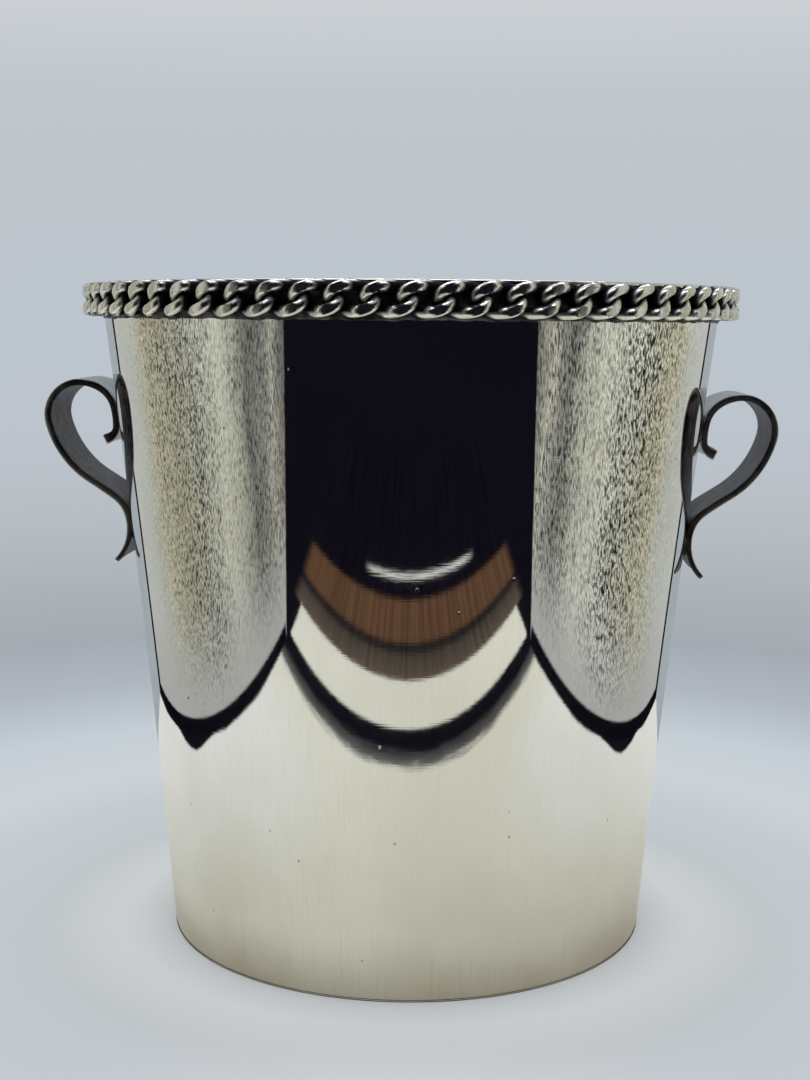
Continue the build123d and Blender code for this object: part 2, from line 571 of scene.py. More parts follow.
def paint(node, material):
    """Give a CAD node's object a finish in its own material slots."""
    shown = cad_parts[node]
    for number in range(len(shown.data.materials)):
        shown.data.materials[number] = material
    if not shown.data.materials:
        shown.data.materials.append(material)


paint("base_disc", turned_silver)
paint("base_solder", solder)
print("finishes made:", turned_silver.name, solder.name)

# %% [markdown]
# ## The chain
#
# A curb chain is made of round wire rings that are pressed to ovals and twisted,
# so that each one lies flat against its neighbours.  Afterwards the outside is
# filed: that leaves a small bright-edged flat on every place that stood proud.
#
# One link starts as a ring of wire from a circle and a spin.  Then each of its
# points is carried over to the link's real line: an oval whose quarters lean out
# and in by turns.  Filing is a limit on how far any point may stand from the
# bucket's axis.

# %% One link
LINK_COUNT = 66
LINKS_PER_NODE = 2
CHAIN_CIRCLE = 101.5 * MM
CHAIN_MIDDLE = HEIGHT - 5.25 * MM
LINK_HALF_LENGTH = 6.55 * MM
LINK_HALF_HEIGHT = 3.5 * MM
LINK_TWIST = 2.05 * MM
WIRE_RADIUS = 1.62 * MM
FILED_RADIUS = 104.75 * MM
SEAT_RADIUS = 98.2 * MM
CHAIN_TURN = math.radians(1.8)       # bearing of the first link
LEAN = 0.229                         # moves the proud places towards the middle of each side
TILT_SPREAD = 0.012                  # how uneven the links are: a turn in radians,
LIFT_SPREAD = 0.05                   # a drop in millimetres
FILING_SPREAD = 0.1                  # and the depth of filing in millimetres
SECTION_STEPS = 16
LINK_STEPS = 56


def ring_of_wire(bm, radius=1.0):
    """A wide ring about Z whose wire already has the links' thickness."""
    made = bmesh.ops.create_circle(bm, segments=SECTION_STEPS, radius=WIRE_RADIUS)
    stand = Matrix.Translation((radius, 0, 0)) @ Matrix.Rotation(math.radians(90), 4, "X")
    bmesh.ops.transform(bm, matrix=stand, verts=made["verts"])
    spin_whole(bm, bm.verts[:] + bm.edges[:], LINK_STEPS)
    bmesh.ops.remove_doubles(bm, verts=bm.verts, dist=1e-6)


def link_line(angle):
    """Point, direction and side direction of the twisted oval: along, up and out."""
    c, s = math.cos(angle), math.sin(angle)
    twist = 2 * (angle - LEAN * math.sin(2 * angle))
    twist_rate = 2 - 4 * LEAN * math.cos(2 * angle)
    point = Vector((LINK_HALF_LENGTH * c, LINK_HALF_HEIGHT * s, -LINK_TWIST * math.sin(twist)))
    ahead = Vector((-LINK_HALF_LENGTH * s, LINK_HALF_HEIGHT * c,
                    -LINK_TWIST * math.cos(twist) * twist_rate)).normalized()
    side = Vector((LINK_HALF_HEIGHT * c, LINK_HALF_LENGTH * s, 0))
    side = (side - ahead * side.dot(ahead)).normalized()
    return point, ahead, side


def bend_link(bm, radius=1.0):
    """Carry a wire ring over to the twisted oval."""
    for v in bm.verts:
        point, ahead, side = link_line(math.atan2(v.co.y, v.co.x))
        outward = math.hypot(v.co.x, v.co.y) - radius
        v.co = point + side * outward + side.cross(ahead) * v.co.z


def seat_link(verts, bearing, chance):
    """Place a link on the band, a little unevenly, and file its proud side."""
    tilt = Matrix.Rotation(chance.gauss(0, TILT_SPREAD), 3, "Z")
    lift = -abs(chance.gauss(0, LIFT_SPREAD)) * MM
    filed = FILED_RADIUS - abs(chance.gauss(0, FILING_SPREAD)) * MM
    for v in verts:
        along, up, out = tilt @ v.co
        reach = Vector((along, CHAIN_CIRCLE + out))
        radius = min(max(reach.length, SEAT_RADIUS), filed)
        angle = bearing + math.atan2(reach.x, reach.y)
        v.co = (radius * math.cos(angle), radius * math.sin(angle), CHAIN_MIDDLE + up + lift)


print("points on one link:", LINK_STEPS * SECTION_STEPS)

# %% [markdown]
# ## The chain's finish
#
# Silver darkens where a cloth can't reach.  The distance from the axis tells
# the deep places from the proud ones, and a little noise keeps the edge of the
# dark from looking drawn.


# %% Finish: chain silver, dark in its hollows
CHAIN_BRIGHT = (0.92, 0.91, 0.86)
CHAIN_DARK = (0.026, 0.024, 0.038)
CHAIN_RELIEF = 0.012 * MM
CLOTH_REACH = 1.2 * MM               # how far noise moves the edge of the dark
PROUD = (103.5 * MM, 104.7 * MM)     # from dark to bright, by distance from the axis
RUBBED_SIDE = (101.4 * MM, 102.9 * MM)      # the same where the two next lines hold
UNDERSIDE = (3.1 * MM, 4.4 * MM)     # depth under the chain's middle
TOP_SIDE = (-4.2 * MM, -5.0 * MM)    # depth less than zero, so over it


def make_chain_silver():
    """Bright where a cloth rubs, dark in between."""
    material, tree, shader = new_metal("chain_silver")
    place = own_place(tree)
    reach = vector_node(tree, "LENGTH", across_axis(tree, place))["Value"]
    uneven = math_node(tree, "MULTIPLY_ADD", noise_value(tree, place, 500.0, 3.0), CLOTH_REACH, reach)
    below = math_node(tree, "SUBTRACT", CHAIN_MIDDLE, split(tree, place)["Z"])
    sides = math_node(tree, "MAXIMUM", ramp(tree, below, *UNDERSIDE), ramp(tree, below, *TOP_SIDE))
    rubbed = math_node(tree, "MULTIPLY", sides, ramp(tree, uneven, *RUBBED_SIDE))
    bright = math_node(tree, "MAXIMUM", ramp(tree, uneven, *PROUD), rubbed)
    connect(tree, shader, "Base Color", mix_colour(tree, bright, CHAIN_DARK, CHAIN_BRIGHT))
    connect(tree, shader, "Roughness", ramp(tree, bright, 1.8, -1.0))
    bump(tree, shader, noise_value(tree, place, 2600.0, 2.0), CHAIN_RELIEF)
    return material


chain_silver = make_chain_silver()
print("finish made:", chain_silver.name)

# %% [markdown]
# ## The whole chain
#
# A loop of real links is closed one at a time, and no two come out quite alike.
# So the links are made one by one too, and each gets its own small tilt, drop
# and filing before it is seated.  Copies of one link would be lighter, but the
# sameness would show.  Two links share a piece, as in the measured model.


# %% Seat the links in pairs
def make_chain():
    """Every pair of links; gives the number of faces in the last one."""
    chance = random.Random(11)
    for pair in range(LINK_COUNT // LINKS_PER_NODE):
        both = bmesh.new()
        for k in range(LINKS_PER_NODE):
            one = bmesh.new()
            ring_of_wire(one)
            bend_link(one)
            bearing = CHAIN_TURN + 2 * math.pi * (pair * LINKS_PER_NODE + k) / LINK_COUNT
            seat_link(one.verts, bearing, chance)
            shape = bpy.data.meshes.new("one_link")
            one.to_mesh(shape)
            one.free()
            both.from_mesh(shape)
            bpy.data.meshes.remove(shape)
        name = f"chain_pair_{pair + 1:02d}"
        piece = finish_piece(both, name, chain_silver, sharp=30)
        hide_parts(f"chain_links_{pair + 1:02d}")
    return len(piece.data.polygons)


print("faces in each pair of links:", make_chain())

# %% [markdown]
# ## The solder behind the chain
#
# Solder was run between the chain and the band.  A little of it has crept out
# below the chain, as an uneven bead.  It is another spun ring, with its lower
# edge pushed about by a few waves.


# %% Chain solder
BEAD_STEPS = 396
BEAD_DEPTH = 0.3 * MM                # how far the bead sits into the band
BEAD_STANDS = 0.55 * MM              # how far it stands out of it
BEAD_DROP = 0.35 * MM                # how far it has run below the shoulder
BEAD_CHAMFER = (0.4 * MM, 0.6 * MM)
BEAD_WAVE = 0.28 * MM


def make_chain_solder():
    """A spun ring of solder with an uneven lower edge."""
    low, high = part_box("chain_solder")
    inner, outer = BAND_RADIUS - BEAD_DEPTH, BAND_RADIUS + BEAD_STANDS
    foot = SHOULDER - BEAD_DROP
    bm = bmesh.new()
    outline = [(inner, foot), (outer - BEAD_CHAMFER[0], foot), (outer, foot + BEAD_CHAMFER[1]),
               (outer, high.z), (inner, high.z)]
    spin_whole(bm, section_loop(bm, outline), BEAD_STEPS)
    for v in bm.verts:
        if v.co.z < low.z and math.hypot(v.co.x, v.co.y) > BAND_RADIUS:
            a = math.atan2(v.co.y, v.co.x)
            v.co.z += BEAD_WAVE * (math.sin(23 * a) * math.sin(41 * a + 1.0) + 0.5 * math.sin(97 * a))
    return finish_piece(bm, "chain_solder_bead", solder, sharp=60)


bead = make_chain_solder()
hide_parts("chain_solder")
print("solder bead faces:", len(bead.data.polygons))

# %% [markdown]
# ## The handles
#
# Each handle is one flat strap.  It starts in a small curl, lies against the
# wall, goes over the top, comes down in a long grip, touches the wall again and
# ends in a tail that is flicked out.  Seen from the front it is a chain of arcs,
# each one starting in the direction in which the last one ended.
#
# The smith bends it over round stakes, one after another.  The same can be done
# to a mesh: a flat rounded section is spun round the middle of each arc in turn,
# one small step at a time, and each new section may be made a little thicker or
# thinner than the last.  Where the strap lies on the wall it is hammered to the
# wall's curve, so those parts are dished afterwards.

# %% The strap's outer face
STRAP_WIDTH = 27 * MM
STRAP_THICKNESS = 2.1 * MM
TIP_THICKNESS = 3.2 * MM
TAIL_THICKNESS = 1.4 * MM
STRAP_TIP = (98.2 * MM, 158.6 * MM)
STRAP_HEADING = math.radians(157.8)
STRAP_BENDS = [                      # radius in mm, turn in degrees, clockwise negative
    (6.1, -66.4), (26.0, -15.2), (11.4, -97.9), (11.8, -83.0),
    (32.0, -43.7), (46.9, 10.7), (11.0, 35.3), (16.5, 50.3)]
STATION = 0.9 * MM                   # longest step along the strap
STRAP_LENGTH = sum(radius * MM * math.radians(abs(turn)) for radius, turn in STRAP_BENDS)
print("strap length in mm:", round(STRAP_LENGTH / MM, 1))

# %% The strap's thickness along its length
TIP_RUN = 7 * MM
TAIL_RUN = 16 * MM


def ease(value):
    """Smooth step from 0 to 1."""
    value = min(max(value, 0.0), 1.0)
    return value * value * (3 - 2 * value)


def thickness_at(run):
    """Thick at the curled tip, thin towards the tail."""
    tip = ease(1 - run / TIP_RUN)
    tail = ease((run - (STRAP_LENGTH - TAIL_RUN)) / TAIL_RUN)
    return (STRAP_THICKNESS + (TIP_THICKNESS - STRAP_THICKNESS) * tip
            + (TAIL_THICKNESS - STRAP_THICKNESS) * tail)


print("thickness in mm at tip, middle and tail:",
      [round(thickness_at(part * STRAP_LENGTH) / MM, 2) for part in (0, 0.5, 1)])

# %% The strap's section
EDGE_ROUND = 0.4 * MM
ACROSS = 12                          # divisions of the width, for the dishing


def start_section(bm):
    """A flat rounded loop at the strap's tip, its outer face up before it is turned."""
    low, high = -thickness_at(0), 0.0
    half = STRAP_WIDTH / 2
    corners = [bm.verts.new((0, y, z)) for y, z in
               ((-half, low), (half, low), (half, high), (-half, high))]
    sides = [bm.edges.new((a, b)) for a, b in zip(corners, corners[1:] + corners[:1])]
    bmesh.ops.bevel(bm, geom=corners, offset=EDGE_ROUND, affect="VERTICES", segments=3,
                    profile=0.5, material=-1)
    wide = [e for e in bm.edges if e.calc_length() > half]
    bmesh.ops.subdivide_edges(bm, edges=wide, cuts=ACROSS - 1)
    place = Matrix.Translation((STRAP_TIP[0], 0, STRAP_TIP[1]))
    bmesh.ops.transform(bm, matrix=place @ Matrix.Rotation(-STRAP_HEADING, 4, "Y"), verts=bm.verts)
    return bm.verts[:] + bm.edges[:]


print("section in mm:", round(STRAP_WIDTH / MM, 1), "by", round(thickness_at(0) / MM, 1), "at the tip")


# %% Bend the strap
def thicken(verts, point, inward, ratio):
    """Move the points of one section along its thickness, keeping the outer face."""
    for v in verts:
        depth = (v.co - point).dot(inward)
        v.co += inward * depth * (ratio - 1)


def note_inside(bm, verts, point, inward, depth):
    """Keep on each point how deep in the strap's thickness it lies, from 0 to 1."""
    layer = bm.verts.layers.float["inside"]
    for v in verts:
        v[layer] = ease((v.co - point).dot(inward) / depth)


def bend_strap(bm):
    """Spin the section round the middle of each arc, one short step at a time."""
    section = start_section(bm)
    first = [e for e in section if isinstance(e, bmesh.types.BMEdge)]
    point, heading, run = Vector((STRAP_TIP[0], 0, STRAP_TIP[1])), STRAP_HEADING, 0.0
    for radius, degrees in STRAP_BENDS:
        bend, length = math.radians(degrees), radius * MM * math.radians(abs(degrees))
        left = Vector((-math.sin(heading), 0, math.cos(heading)))
        middle = point + left * math.copysign(radius * MM, bend)
        steps = max(3, math.ceil(length / STATION))
        for _ in range(steps):
            section = bmesh.ops.spin(bm, geom=section, cent=middle, axis=(0, -1, 0),
                                     angle=bend / steps, steps=1)["geom_last"]
            heading += bend / steps
            inward = Vector((math.sin(heading), 0, -math.cos(heading)))
            point = middle + inward * math.copysign(radius * MM, bend)
            ratio = thickness_at(run + length / steps) / thickness_at(run)
            verts = [v for v in section if isinstance(v, bmesh.types.BMVert)]
            thicken(verts, point, inward, ratio)
            run += length / steps
            note_inside(bm, verts, point, inward, thickness_at(run))
    last = [e for e in section if isinstance(e, bmesh.types.BMEdge)]
    return first, last


# %% Close, dish and place a strap
END_ROUND = 0.3 * MM
DISH_NEAR = 2.5 * MM                 # gap to the wall up to which the strap follows it fully
DISH_FAR = 9 * MM                    # gap from which it is flat


def make_strap(name, side, drop, shift, material):
    """A bent strap, dished to the wall and moved to its own side."""
    bm = bmesh.new()
    bm.verts.layers.float.new("inside")
    for loop in bend_strap(bm):
        bmesh.ops.contextual_create(bm, geom=loop)
    ends = [f for f in bm.faces if len(f.verts) > 4]
    rims = [e for f in ends for e in f.edges]
    bmesh.ops.recalc_face_normals(bm, faces=bm.faces)
    bmesh.ops.bevel(bm, geom=rims, offset=END_ROUND, affect="EDGES", segments=2,
                    profile=0.5, material=-1)
    for v in bm.verts:
        x, y, z = v.co
        radius = wall_radius(z)
        follow = 1 - ease((x - radius - DISH_NEAR) / (DISH_FAR - DISH_NEAR))
        x -= follow * (radius - math.sqrt(radius ** 2 - y ** 2))
        v.co = (side * (x - shift), y, z - drop)
    return finish_piece(bm, name, material, sharp=50)


# %% [markdown]
# ## The handles' finish
#
# The outside of a strap is rubbed bright by hands, and its inside goes grey with
# tarnish and is darkened further as painted shade, for the dark that it mirrors.
# While the strap was bent, it was known which side was which, so each piece
# carries an attribute, "inside", that is 1 on the inner face.  The grain runs
# along the strap, so its noise is read fast across the width and slowly along.


# %% Finish: toned strap silver
RUBBED_LOW = (0.22, 0.215, 0.21)
RUBBED_HIGH = (0.54, 0.535, 0.515)
# the inner face: grey tarnish, darkened further as painted shade
INNER_DARK = (0.020, 0.014, 0.015)
INNER_GREY = (0.135, 0.108, 0.106)
GRAIN_STRETCH = (0.04, 1.0, 0.04)
GRAIN_RELIEF = 0.012 * MM


def make_strap_silver():
    """Rubbed silver outside; mottled grey tarnish with painted shade inside; grain along the strap."""
    material, tree, shader = new_metal("toned_and_shaded_silver")
    place = own_place(tree)
    grain = noise_value(tree, scaled_place(tree, place, GRAIN_STRETCH), 800.0, 4.0, 0.7)
    side = tree.nodes.new("ShaderNodeAttribute")
    side.attribute_name = "inside"
    streaks = ramp(tree, grain, 0.38, 0.62)
    rubbed = mix_colour(tree, ramp(tree, grain, 0.34, 0.66), RUBBED_LOW, RUBBED_HIGH)
    mottle = ramp(tree, noise_value(tree, place, 240.0, 4.0, 0.65), 0.40, 0.62)
    patchy = math_node(tree, "MULTIPLY_ADD", mottle, 0.6, math_node(tree, "MULTIPLY", streaks, 0.4))
    grey = mix_colour(tree, patchy, INNER_DARK, INNER_GREY)
    connect(tree, shader, "Base Color", mix_colour(tree, side.outputs["Fac"], rubbed, grey))
    rough = math_node(tree, "MULTIPLY_ADD", side.outputs["Fac"], 0.2, 0.16)
    connect(tree, shader, "Roughness", math_node(tree, "MULTIPLY_ADD", streaks, 0.06, rough))
    bump(tree, shader, grain, GRAIN_RELIEF)
    return material


toned_and_shaded_silver = make_strap_silver()
left_box, right_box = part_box("handle_left"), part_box("handle_right")
RIGHT_DROP = left_box[1].z - right_box[1].z
RIGHT_SHIFT = -left_box[0].x - right_box[1].x
handle_places = {"left": (-1, 0.0, 0.0), "right": (1, RIGHT_DROP, RIGHT_SHIFT)}
for where, (side, drop, shift) in handle_places.items():
    strap = make_strap(f"strap_{where}", side, drop, shift, toned_and_shaded_silver)
    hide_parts(f"handle_{where}")
print("right handle lower by", round(RIGHT_DROP / MM, 2), "mm")
print("strap faces:", len(strap.data.polygons))

# %% [markdown]
# ## The solder at the handles
#
# Each strap is held by solder at two places.  What shows is a low grey mound
# that looks out round the strap's edges.  It starts as a ball whose points are
# pushed towards a box, and is then laid on the wall.

# %% Solder mounds
MOUND_HALF_WIDTH = 14.5 * MM
MOUND_HALF_HEIGHT = 4.3 * MM
MOUND_RISE = 0.95 * MM
SQUARENESS = 0.55                    # 1 keeps the ball round, less makes it boxy


def make_mound(name, side, middle):
    """A boxy ball laid on the wall at a height."""
    bm = bmesh.new()
    bmesh.ops.create_uvsphere(bm, u_segments=48, v_segments=24, radius=1.0)
    for v in bm.verts:
        out, across, up = (math.copysign(abs(c) ** SQUARENESS, c) for c in v.co)
        z = middle + up * MOUND_HALF_HEIGHT
        radius = wall_radius(z) + out * MOUND_RISE
        angle = across * MOUND_HALF_WIDTH / radius
        v.co = (side * radius * math.cos(angle), radius * math.sin(angle), z)
    return finish_piece(bm, name, solder, sharp=60)


for where, (side, *_) in handle_places.items():
    for level in ("upper", "lower"):
        low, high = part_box(f"solder_{where}_{level}")
        mound = make_mound(f"mound_{where}_{level}", side, (low.z + high.z) / 2)
        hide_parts(f"solder_{where}_{level}")
print("mound faces:", len(mound.data.polygons))

# %% [markdown]
# ## The studio
#
# A mirror has no look of its own, so it is lit by giving it things to reflect.
# The bucket stands in a small tent: a cream floor, pebbled silvery sides, a
# plain back and roof, dark seams where the cloths meet, and an open front with a
# dim table beyond it.  All of it is matt cloth in one even light, which is what
# the world gives to every matt surface.
#
# The tent is there for the reflections alone.  The camera doesn't see it, so it
# never hides the bucket from any side, and the floor that the camera does see
# is one pale disc with painted light and shade.

# %% Tent sizes
TENT_HALF_WIDTH = 0.250
TENT_BACK = 0.197
TENT_HEIGHT = 0.44
FRONT_FOOT = -0.247                  # the open front's side edges lean forward
FRONT_TOP = -0.42
FLAP_FRONT = -0.304
TABLE_FRONT = -0.60
FLOOR_HALF_WIDTH = 0.29
OVER = 0.3 * MM                      # the mirrored floor lies just over the seen one
print("tent in metres:", 2 * TENT_HALF_WIDTH, "wide and", TENT_HEIGHT, "high")


# %% Hang a sheet
def only_mirrored(thing):
    """Leave a stage piece to the reflections alone."""
    thing.visible_camera = False
    thing.visible_diffuse = False
    thing.visible_shadow = False


def stage_sheet(name, corners, material):
    """A flat sheet between four corners, turned with the camera."""
    bm = bmesh.new()
    bm.faces.new([bm.verts.new(c) for c in corners])
    sheet = new_object(bm, name, material)
    sheet.rotation_euler.z = EYE_BEARING
    only_mirrored(sheet)


def lay_sheet(name, half_width, front, back, height, material):
    """A level sheet."""
    stage_sheet(name, [(-half_width, front, height), (half_width, front, height),
                       (half_width, back, height), (-half_width, back, height)], material)


def hang_sheet(name, x, foot, top, low, high, material):
    """An upright sheet at one side, from the front edge, which may lean, to the back."""
    stage_sheet(name, [(x, foot, low), (x, TENT_BACK, low),
                       (x, TENT_BACK, high), (x, top, high)], material)


# %% Start a cloth
def cloth(name, colour=(0.8, 0.8, 0.8)):
    """A matt cloth; gives the material, its tree and its shader."""
    material = bpy.data.materials.new(name)
    material.use_nodes = True
    tree = material.node_tree
    tree.nodes.clear()
    shader = tree.nodes.new("ShaderNodeBsdfDiffuse")
    shader.inputs["Color"].default_value = (*colour, 1.0)
    end = tree.nodes.new("ShaderNodeOutputMaterial")
    tree.links.new(shader.outputs[0], end.inputs["Surface"])
    return material, tree, shader


def colour_bands(tree, value, low, high, bands):
    """Colours along a value: a list of (value, colour), blended in between."""
    reach = tree.nodes.new("ShaderNodeMapRange")
    connect(tree, reach, "Value", value)
    connect(tree, reach, "From Min", low)
    connect(tree, reach, "From Max", high)
    node = tree.nodes.new("ShaderNodeValToRGB")
    tree.links.new(reach.outputs["Result"], node.inputs["Fac"])
    stops = node.color_ramp.elements
    while len(stops) < len(bands):
        stops.new(0.5)
    for stop, (at, colour) in zip(stops, bands):
        stop.position = (at - low) / (high - low)
        stop.color = (*colour, 1.0)
    return node.outputs["Color"]


# %% [markdown]
# ## The tent's sides
#
# The sides are a silvery cloth with a small pebbled weave that hangs in soft
# folds.  The folds could be modelled, but a mirror shows no more of them than
# their light and shade, so the sheets stay flat and that light and shade is
# painted as tones that run from the open front to the back.  The cells of a
# Voronoi texture make the pebbles.

# %% Pebbled cloth for the sides
PEBBLE = 2.2 * MM
# painted light and shade of the folds, given as tones of the cloth
FOLD_LIGHT_AND_SHADE = [                       # colour of the cloth from its front edge to the back
    (-0.40, (0.05, 0.05, 0.05)), (-0.29, (0.16, 0.155, 0.14)), (-0.25, (0.34, 0.33, 0.28)),
    (-0.225, (0.20, 0.20, 0.18)), (-0.195, (0.16, 0.16, 0.145)), (-0.165, (0.42, 0.42, 0.36)),
    (-0.13, (0.60, 0.60, 0.51)), (-0.10, (0.46, 0.46, 0.40)), (-0.065, (0.28, 0.28, 0.24)),
    (-0.02, (0.36, 0.34, 0.26)), (0.03, (0.50, 0.475, 0.36)), (0.08, (0.56, 0.57, 0.52)),
    (0.197, (0.60, 0.61, 0.57))]
CALM_TONE = (0.49, 0.495, 0.475)     # the cloth near the floor
CALM_HEIGHT = 0.07
SWAY = 0.10                          # how far noise moves the folds
DOME_MIDDLE = 0.53                   # keeps the pebbles' mean tone that of the cloth
DOME_GAIN = 2.2
PEBBLE_CONTRAST = 2.9
GLOOM = 0.85                         # share of light lost high up at the open front
PEBBLE_DEPTHS = [                    # how strongly the pebbles show
    (-0.40, 0.2), (-0.25, 0.8), (-0.195, 0.6), (-0.165, 0.35), (-0.13, 0.22), (-0.10, 0.45),
    (-0.065, 0.95), (-0.02, 0.5), (0.03, 0.26), (0.08, 0.08), (0.197, 0.0)]


def make_pebbled_cloth():
    """Silvery cloth whose small pebbles catch the light or lose it."""
    material, tree, shader = cloth("pebbled_cloth")
    place = own_place(tree)
    parts = split(tree, place)
    sway = math_node(tree, "SUBTRACT", noise_value(tree, place, 9.0, 2.0), 0.5)
    along = math_node(tree, "MULTIPLY_ADD", sway, SWAY, parts["Y"])
    span = (-0.40, 0.20)
    calm = ramp(tree, parts["Z"], 0.0, CALM_HEIGHT)
    fold_shading = mix_colour(tree, calm, CALM_TONE, colour_bands(tree, along, *span, FOLD_LIGHT_AND_SHADE))
    depth = colour_bands(tree, along, *span, [(at, (tone,) * 3) for at, tone in PEBBLE_DEPTHS])
    depth = math_node(tree, "MULTIPLY", depth, calm)
    squat = scaled_place(tree, place, (1.0, 1.0, 1.25))
    cells = add_node(tree, "ShaderNodeTexVoronoi", Vector=squat, Scale=1 / PEBBLE)
    chance = add_node(tree, "ShaderNodeSeparateColor", Color=cells.outputs["Color"]).outputs[0]
    dome = math_node(tree, "SUBTRACT", DOME_MIDDLE, cells.outputs["Distance"])
    glint = math_node(tree, "MULTIPLY_ADD", dome, DOME_GAIN, math_node(tree, "SUBTRACT", chance, 0.5))
    shown = math_node(tree, "MULTIPLY", glint, depth)
    gain = math_node(tree, "MULTIPLY_ADD", shown, PEBBLE_CONTRAST, 1.0)
    front = ramp(tree, parts["Y"], -0.15, -0.235)
    gloom = math_node(tree, "MULTIPLY", front, ramp(tree, parts["Z"], 0.12, 0.23))
    kept = math_node(tree, "SUBTRACT", 1.0, math_node(tree, "MULTIPLY", gloom, GLOOM))
    bright = math_node(tree, "MULTIPLY", math_node(tree, "MAXIMUM", gain, 0.03), kept)
    connect(tree, shader, "Color", vector_node(tree, "SCALE", fold_shading, scale=bright)[0])
    return material


pebbled_cloth = make_pebbled_cloth()
print("cloth made:", pebbled_cloth.name)

# %% [markdown]
# ## The tent's floor and the table beyond
#
# The cream cloth ends in a dark piped hem, with the piping's shadow painted
# beside it in the same dark, and a dim table lies beyond it.  On the curved wall
# these straight bands turn into arcs, one inside the other.  They are plain
# tones along one direction, with a little noise at their edges, because cloth
# never ends in a ruled line.

# %% Floor cloth with its dark hem
CREAM = (0.533, 0.535, 0.478)
PALE = (0.565, 0.58, 0.565)          # the cream cloth out at the sides
# dark piping; the same dark is painted for the piping's shadow, and for the shade on the disc under
# the bucket
PIPING_AND_SHADE = (0.0045, 0.0045, 0.0075)
FRAY = (0.032, 0.032, 0.036)
THREADS = (0.08, 1.0, 1.0)           # the fray is drawn out along the hem
FRAY_REACH = 0.018
SIDE_HEM = (0.253, 0.256)            # where the dark side hem begins and is full
BULGE = 0.014                        # how far in the side hem comes at one place,
BULGE_PLACE = 0.015
BULGE_LENGTH = 0.065
WAVE = 0.012                         # and how far it wanders elsewhere
HEM_TONES = [                        # from the flap in front of the hem to the floor behind it
    (-0.31, CREAM), (-0.2600, CREAM), (-0.2590, PIPING_AND_SHADE), (-0.243, PIPING_AND_SHADE), (-0.239, FRAY),
    (-0.231, (0.085, 0.085, 0.085)), (-0.224, CREAM)]


def make_floor_cloth():
    """Cream cloth, dark along its sides and across the front with piping and its painted shadow."""
    material, tree, shader = cloth("floor_cloth")
    place = own_place(tree)
    parts = split(tree, place)
    threads = scaled_place(tree, place, THREADS)
    fray = math_node(tree, "SUBTRACT", noise_value(tree, threads, 260.0, 4.0, 0.7), 0.5)
    fray = math_node(tree, "MULTIPLY", fray, ramp(tree, parts["Y"], -0.262, -0.240))
    along = math_node(tree, "MULTIPLY_ADD", fray, FRAY_REACH, parts["Y"])
    front = colour_bands(tree, along, -0.31, -0.21, HEM_TONES)
    sideways = away_from(tree, parts["X"])
    bulge = ramp(tree, away_from(tree, parts["Y"], BULGE_PLACE), BULGE_LENGTH, 0.0)
    out = math_node(tree, "MULTIPLY_ADD", bulge, BULGE, sideways)
    wavy = math_node(tree, "MULTIPLY_ADD", noise_value(tree, place, 16.0, 2.0), WAVE, out)
    side = ramp(tree, wavy, *SIDE_HEM)
    outer = math_node(tree, "MULTIPLY", ramp(tree, sideways, 0.07, 0.20),
                      ramp(tree, parts["Y"], -0.22, -0.15))
    paler = mix_colour(tree, outer, front, PALE)
    connect(tree, shader, "Color", mix_colour(tree, side, paler, PIPING_AND_SHADE))
    return material


floor_cloth = make_floor_cloth()
print("cloth made:", floor_cloth.name)

# %% The table
LIT_LINE_X = 0.030
LIT_LINE_Y = -0.419
LIT_LINE = (0.55, 0.54, 0.53)
TABLE_GREY = (0.049, 0.041, 0.034)
TABLE_BROWN = (0.086, 0.046, 0.027)
TABLE_GAP = (0.016, 0.014, 0.015)
FAR_DARK = (0.0041, 0.0037, 0.0073)
TABLE_TONES = [                      # from the far end to the flap of the floor cloth
    (TABLE_FRONT, FAR_DARK), (-0.393, FAR_DARK), (-0.388, TABLE_BROWN), (-0.344, TABLE_BROWN),
    (-0.340, TABLE_GAP), (-0.334, TABLE_GAP), (-0.328, TABLE_GREY),
    (FLAP_FRONT, (0.085, 0.064, 0.052))]


def make_table():
    """A dim brown table with a dark far edge and one thin lit line."""
    material, tree, shader = cloth("dim_table")
    place = own_place(tree)
    parts = split(tree, place)
    band = colour_bands(tree, parts["Y"], TABLE_FRONT, FLAP_FRONT, TABLE_TONES)
    stripes = scaled_place(tree, place, (1.0, 0.05, 1.0))
    uneven = ramp(tree, noise_value(tree, stripes, 130.0, 3.0), 0.3, 0.7)
    shade = math_node(tree, "MULTIPLY_ADD", uneven, 0.4, 0.75)
    lit = vector_node(tree, "SCALE", band, scale=shade)[0]
    edge = ramp(tree, away_from(tree, parts["X"]), 0.255, 0.28)
    plain = mix_colour(tree, edge, lit, FAR_DARK)
    line = math_node(tree, "MULTIPLY",
                     ramp(tree, away_from(tree, parts["X"], LIT_LINE_X), 0.15, 0.12),
                     ramp(tree, away_from(tree, parts["Y"], LIT_LINE_Y), 0.0045, 0.002))
    connect(tree, shader, "Color", mix_colour(tree, line, plain, LIT_LINE))
    return material


table = make_table()
back_cloth = cloth("back_cloth", (0.43, 0.47, 0.50))[0]
roof_cloth = cloth("roof_cloth", (0.70, 0.72, 0.72))[0]
# dark seams; the same material is the painted shade on the dark disc under the bucket
seam_and_shade_cloth = cloth("seam_and_shade_cloth", PIPING_AND_SHADE)[0]
print("table and plain cloths made:", table.name, back_cloth.name, roof_cloth.name, seam_and_shade_cloth.name)

# %% [markdown]
# ## Light and the hung tent
#
# Two bright strips in the roof give the rim and the chain their sparks.  Then
# every sheet is hung: sides with their seams, back, roof, floor and table.  A
# thin dark disc, hardly wider than the foot, stands for the line of shade where
# the bucket meets the cloth.

